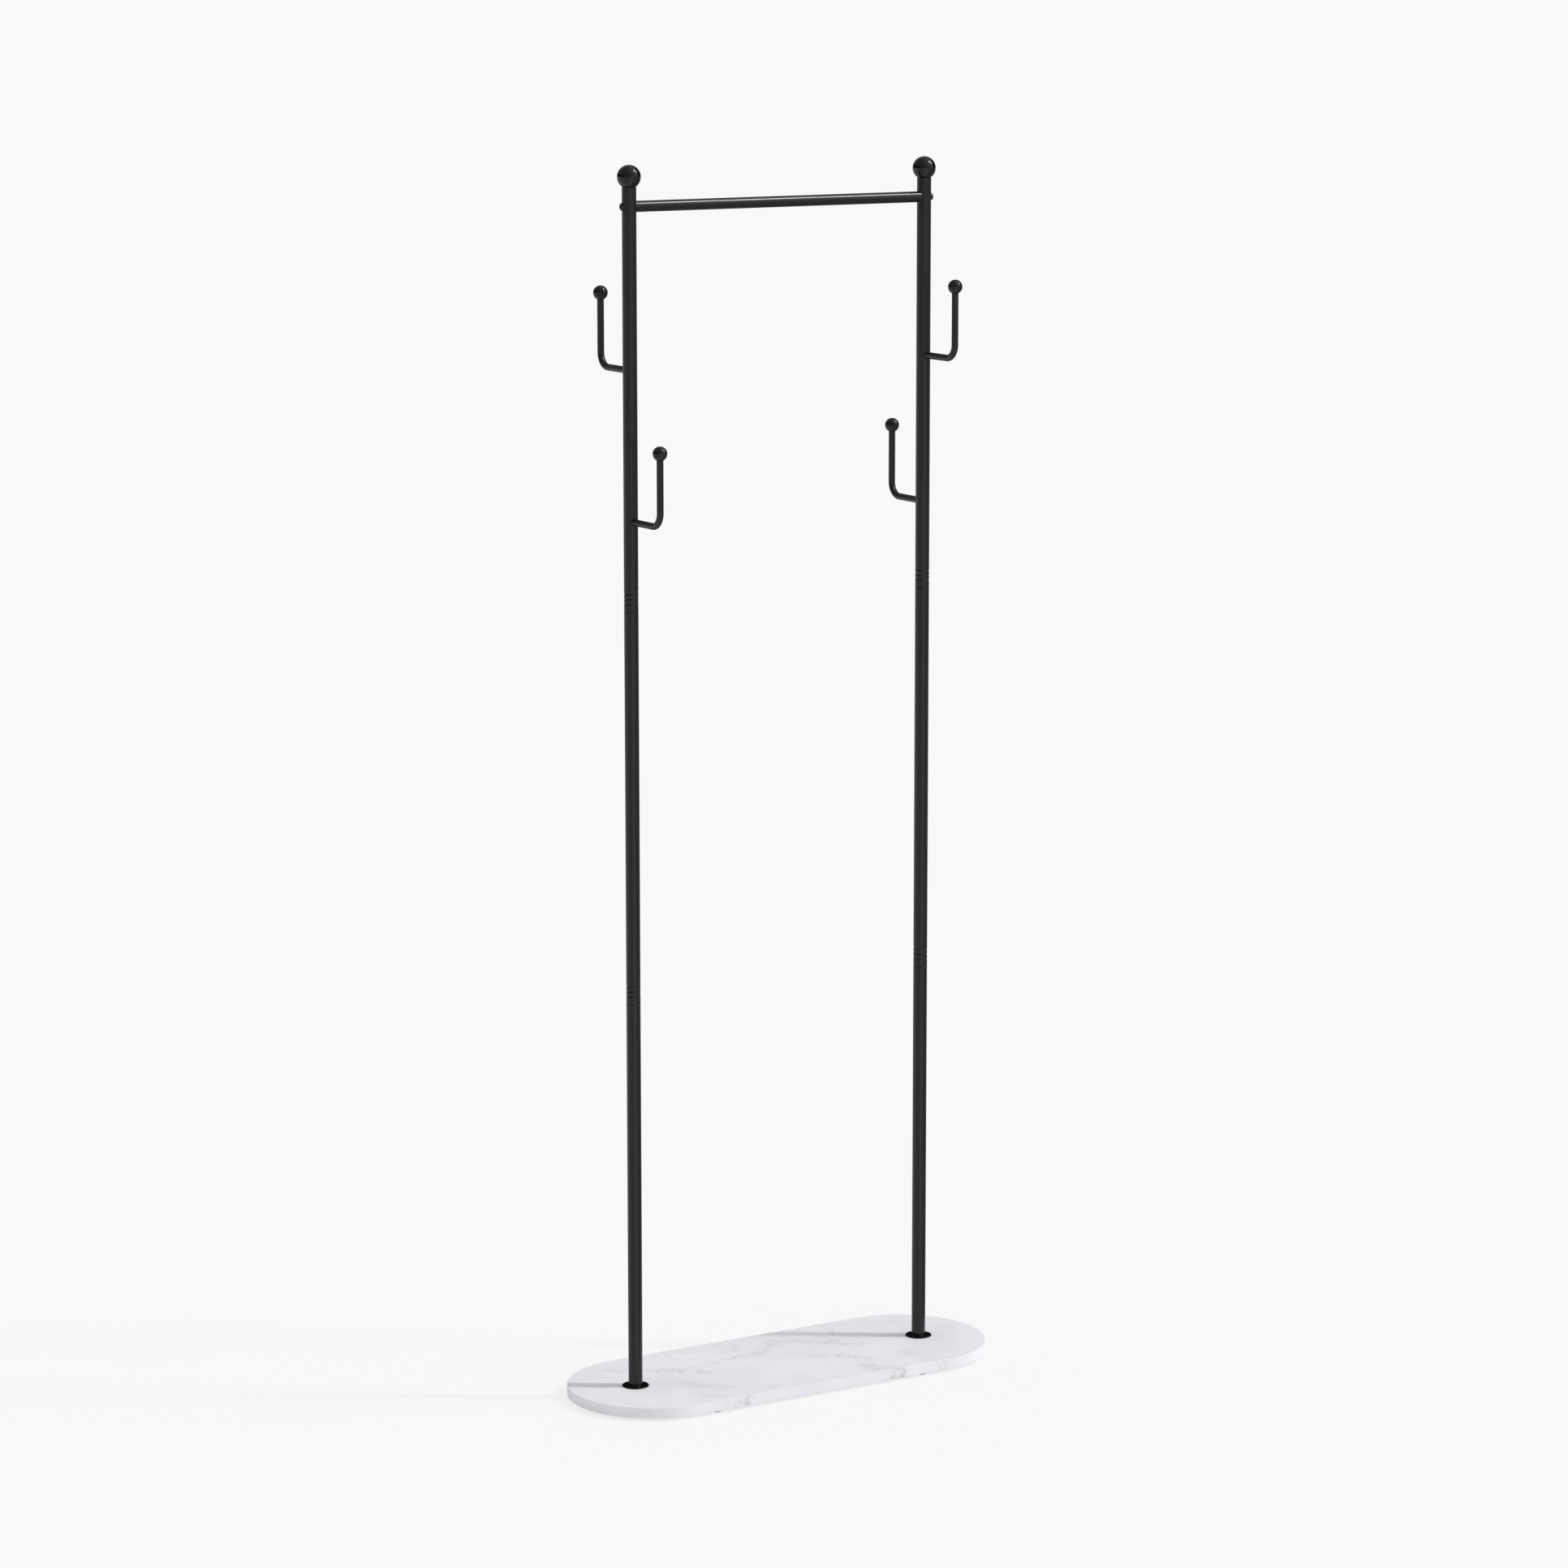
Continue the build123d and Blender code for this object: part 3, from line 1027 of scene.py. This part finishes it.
@dataclass(frozen=True)
class Lamp:
    """One far light.

    Attributes:
        name: name of the lamp.
        towards: direction from the object to it.
        strength: light that it throws on a face turned to it.
        spread_deg: how wide it looks from the object.
    """

    name: str
    towards: Triple
    strength: float
    spread_deg: float

    def hang(self) -> None:
        """Hang the lamp."""
        lamp = bpy.data.lights.new(self.name, "SUN")
        lamp.energy = self.strength
        lamp.angle = math.radians(self.spread_deg)
        holder = bpy.data.objects.new(self.name, lamp)
        x, y, z = self.towards
        holder.rotation_euler = (math.atan2(math.hypot(x, y), z), 0, math.atan2(y, x) + math.pi / 2)
        bpy.context.scene.collection.objects.link(holder)


@dataclass
class Studio:
    """Plain pale floor, a key and a soft panel from the right, a soft room, and the camera; in metres.

    Attributes:
        floor_half: half the floor's width, past the horizon of every view.
        floor_colour: colour of the floor.
        floor_glow: share of the floor that shows at its own colour, which keeps shadows faint.
        room_low: light from the room at the horizon.
        room_high: light from straight above.
        room_span: sine of the elevations between which the one turns into the other.
        dim_towards: level direction in which the room is dimmest.
        dim_share: share of the light that is left there.
        shell_radius: radius of the shell of panels and black cards that only reflections see.
        shell_height: height of its middle.
        shell_floor: light of its lower half by direction, in degrees from straight in front, growing to the
            right; paler and darker panels give black tubes their long streaks.
        shell_cards: sine of the elevation up to which black cards stand, by the same direction.
        card_soft: half the height of the cards' soft upper edge, as a sine too.
        card_light: share of the light that the cards leave.
        shell_room: light of its upper half.
        shell_glow: how much brighter it is round the panel.
        glow_fall: how fast that glow falls off; higher is faster.
        lamp_rim_deg: width of the clear rim that the shell leaves round each lamp.
        key: the small bright light.
        panel: the soft light below it.
        camera_place: where the camera stands.
        camera_turn_deg: how far it is turned from looking along the slab's depth.
        camera_tilt_deg: how far it looks down.
        lens_mm: focal length.
        sensor_mm: width of the sensor.
    """

    floor_half: float = 200
    floor_colour: str = "#f8f8f8"
    floor_glow: float = 0.8
    room_low: float = 0.94
    room_high: float = 0.595
    room_span: Pair = (0.2, 0.7)
    dim_towards: Triple = (-0.848, -0.530, 0.0)
    dim_share: float = 0.74
    shell_radius: float = 60
    shell_height: float = 1.2
    shell_floor: tuple[Pair, ...] = (
        (-180, 0.35), (-130, 0.6), (-108, 0.94), (-84, 0.82), (-60, 0.7), (-38, 0.74), (-16, 0.57),
        (-5, 0.64), (8, 1.0), (40, 1.0), (52, 0.76), (62, 0.5), (82, 0.4), (104, 0.34), (132, 0.3),
        (180, 0.35),
    )
    shell_cards: tuple[Pair, ...] = (
        (-180, 0.55), (-150, 0.25), (-125, 0.19), (-105, 0.28), (-88, 0.33), (-70, 0.35), (-48, 0.18),
        (-32, 0.06), (-15, 0.0), (84, 0.0), (93, 0.05), (101, 0.45), (110, 0.56), (130, 0.62),
        (150, 0.7), (165, 0.68), (180, 0.55),
    )
    card_soft: float = 0.05
    card_light: float = 0.03
    shell_room: float = 0.3
    shell_glow: float = 0.95
    glow_fall: float = 5
    lamp_rim_deg: float = 0.5
    key: Lamp = Lamp("key", (0.511, -0.337, 0.790), strength=1.05, spread_deg=4)
    panel: Lamp = Lamp("panel", (0.713, -0.370, 0.595), strength=0.62, spread_deg=20)
    camera_place: Triple = (-3.5174, -5.7670, 2.0653)
    camera_turn_deg: float = -31.4358
    camera_tilt_deg: float = 10.0595
    lens_mm: float = 110.979
    sensor_mm: float = 36

    def add_stage(self, mesh: Mesh, material: Material) -> Object:
        """Add a part of the studio.

        Args:
            mesh: its shape in metres, named as the object will be.
            material: its material.

        Returns:
            The new stage object.
        """
        mesh.materials.append(material)
        item = bpy.data.objects.new(mesh.name, mesh)
        bpy.context.scene.collection.objects.link(item)
        return item

    def lay_floor(self) -> None:
        """Lay the floor; the camera sees it mostly at its own colour, with faint shadows."""
        material = bpy.data.materials.new("floor_paper")
        material.use_nodes = True
        material.cycles.emission_sampling = "NONE"
        tree = material.node_tree
        shader = tree.nodes["Principled BSDF"]
        colour = linear(self.floor_colour)
        for name, value in (("Base Color", colour), ("Roughness", 1.0), ("Specular IOR Level", 0.0)):
            shader.inputs[name].default_value = value
        seen = add_node(tree, "LightPath", output="Is Camera Ray")
        rays = seen.node.outputs
        for ray in ("Is Glossy Ray", "Is Transmission Ray"):
            seen = add_node(tree, "Math", {0: seen, 1: rays[ray]}, operation="MAXIMUM")
        share = add_node(tree, "Math", {0: seen, 1: self.floor_glow}, operation="MULTIPLY")
        glow = add_node(tree, "Emission", {"Color": colour})
        both = add_node(tree, "MixShader", {0: share, 1: shader.outputs["BSDF"], 2: glow})
        tree.links.new(both, tree.nodes["Material Output"].inputs["Surface"])
        half = self.floor_half
        corners = [(-half, -half, 0), (half, -half, 0), (half, half, 0), (-half, half, 0)]
        mesh = bpy.data.meshes.new("floor")
        mesh.from_pydata(corners, [], [(0, 1, 2, 3)])
        floor = self.add_stage(mesh, material)
        floor.visible_glossy = False

    def shell_light(self, tree: NodeTree, towards: NodeSocket) -> NodeSocket:
        """Light of the shell in each direction.

        Args:
            tree: node tree of the shell.
            towards: direction to each spot.

        Returns:
            Its level.
        """
        angle = math.radians(self.camera_turn_deg)
        right = (math.cos(angle), math.sin(angle), 0.0)
        front = (math.sin(angle), -math.cos(angle), 0.0)
        across, ahead, beside = [
            add_node(tree, "VectorMath", {0: towards, 1: way}, operation="DOT_PRODUCT")
            for way in (right, front, self.panel.towards)
        ]
        around = add_node(tree, "Math", {0: across, 1: ahead}, operation="ARCTAN2")
        share = add_node(tree, "MapRange", {"Value": around, "From Min": -math.pi, "From Max": math.pi})
        levels = []
        for stops in (self.shell_floor, self.shell_cards):
            level = add_node(tree, "ValToRGB", {"Fac": share})
            elements = level.node.color_ramp.elements
            while len(elements) < len(stops):
                elements.new(0.5)
            for element, (degrees, value) in zip(elements, stops):
                element.position = degrees / 360 + 0.5
                element.color = (value, value, value, 1.0)
            levels.append(level)
        lower, cards = levels
        near = add_node(tree, "MapRange", {"Value": beside, "From Min": -1.0})
        glow = add_node(tree, "Math", {0: near, 1: self.glow_fall}, operation="POWER")
        lit = add_node(
            tree, "Math", {0: glow, 1: self.shell_glow, 2: self.shell_room}, operation="MULTIPLY_ADD")
        height = add_node(tree, "SeparateXYZ", {"Vector": towards}, output="Z")
        over = add_node(tree, "Math", {0: height, 1: cards}, operation="SUBTRACT")
        edge = {"From Min": -self.card_soft, "From Max": self.card_soft, "To Min": self.card_light}
        clear = add_node(tree, "MapRange", {"Value": over, **edge}, interpolation_type="SMOOTHSTEP")
        upper = add_node(tree, "Math", {0: lit, 1: clear}, operation="MULTIPLY")
        above = add_node(tree, "Math", {0: height, 1: 0.0}, operation="GREATER_THAN")
        return add_node(tree, "Mix", {"Factor": above, "A": lower, "B": upper}, data_type="FLOAT")

    def shell_material(self) -> Material:
        """Make the shell's material, clear where a lamp shines through it.

        Returns:
            The finished material.
        """
        material = bpy.data.materials.new("reflection_shell")
        material.use_nodes = True
        material.cycles.emission_sampling = "NONE"
        tree = material.node_tree
        place = add_node(tree, "TexCoord", output="Object")
        towards = add_node(tree, "VectorMath", {0: place}, operation="NORMALIZE")
        surface = add_node(tree, "Emission", {"Strength": self.shell_light(tree, towards)})
        clear = add_node(tree, "BsdfTransparent")
        for lamp in (self.key, self.panel):
            beside = add_node(tree, "VectorMath", {0: towards, 1: lamp.towards}, operation="DOT_PRODUCT")
            edge = math.cos(math.radians(lamp.spread_deg / 2 + self.lamp_rim_deg))
            inside = add_node(tree, "Math", {0: beside, 1: edge}, operation="GREATER_THAN")
            surface = add_node(tree, "MixShader", {0: inside, 1: surface, 2: clear})
        tree.links.new(surface, tree.nodes["Material Output"].inputs["Surface"])
        return material

    def hang_shell(self) -> None:
        """Hang the shell that only reflections see."""
        mesh = bpy.data.meshes.new("reflection_shell")
        ball = bmesh.new()
        bmesh.ops.create_icosphere(ball, subdivisions=5, radius=self.shell_radius)
        ball.to_mesh(mesh)
        ball.free()
        shell = self.add_stage(mesh, self.shell_material())
        shell.location = (0, 0, self.shell_height)
        shell.visible_camera = shell.visible_diffuse = False
        shell.visible_transmission = shell.visible_shadow = False

    def light_room(self) -> None:
        """Light the room, pale at the horizon, dimmer above and on the left."""
        world = bpy.data.worlds.new("studio_room")
        world.use_nodes = True
        bpy.context.scene.world = world
        tree = world.node_tree
        towards = add_node(tree, "TexCoord", output="Generated")
        height = add_node(tree, "SeparateXYZ", {"Vector": towards}, output="Z")
        level = add_node(tree, "MapRange", {
            "Value": height, "From Min": self.room_span[0], "From Max": self.room_span[1],
            "To Min": self.room_low, "To Max": self.room_high,
        })
        left = add_node(tree, "VectorMath", {0: towards, 1: self.dim_towards}, operation="DOT_PRODUCT")
        dim = add_node(tree, "MapRange", {"Value": left, "To Min": 1.0, "To Max": self.dim_share})
        light = add_node(tree, "Math", {0: level, 1: dim}, operation="MULTIPLY")
        sky = tree.nodes["Background"].inputs
        sky["Color"].default_value = (1.0, 1.0, 1.0, 1.0)
        tree.links.new(light, sky["Strength"])

    def stand_camera(self) -> None:
        """Stand the camera at the photo's viewing angle."""
        data = bpy.data.cameras.new("camera")
        data.sensor_fit = "HORIZONTAL"
        data.sensor_width = self.sensor_mm
        data.lens = self.lens_mm
        data.clip_end = 4 * self.floor_half
        holder = bpy.data.objects.new("camera", data)
        holder.location = self.camera_place
        tilt = math.radians(90 - self.camera_tilt_deg)
        holder.rotation_euler = (tilt, 0, math.radians(self.camera_turn_deg))
        bpy.context.scene.collection.objects.link(holder)
        bpy.context.scene.camera = holder

    def build(self) -> None:
        """Set up the whole studio."""
        bpy.context.scene.view_settings.view_transform = "Standard"
        self.lay_floor()
        self.hang_shell()
        self.light_room()
        self.key.hang()
        self.panel.hang()
        self.stand_camera()


def main() -> None:
    """Build and dress the rack and set up the studio."""
    logging.basicConfig(level=logging.INFO, format="%(name)s: %(message)s")
    wardrobe = Wardrobe()
    Base().dress(wardrobe)
    for side in Side:
        Post(side).dress(wardrobe)
        for level in Level:
            Hook(side, level).dress(wardrobe)
    Crossbar().dress(wardrobe)
    Tops().dress(wardrobe)
    Studio().build()


if __name__ == "__main__":
    main()
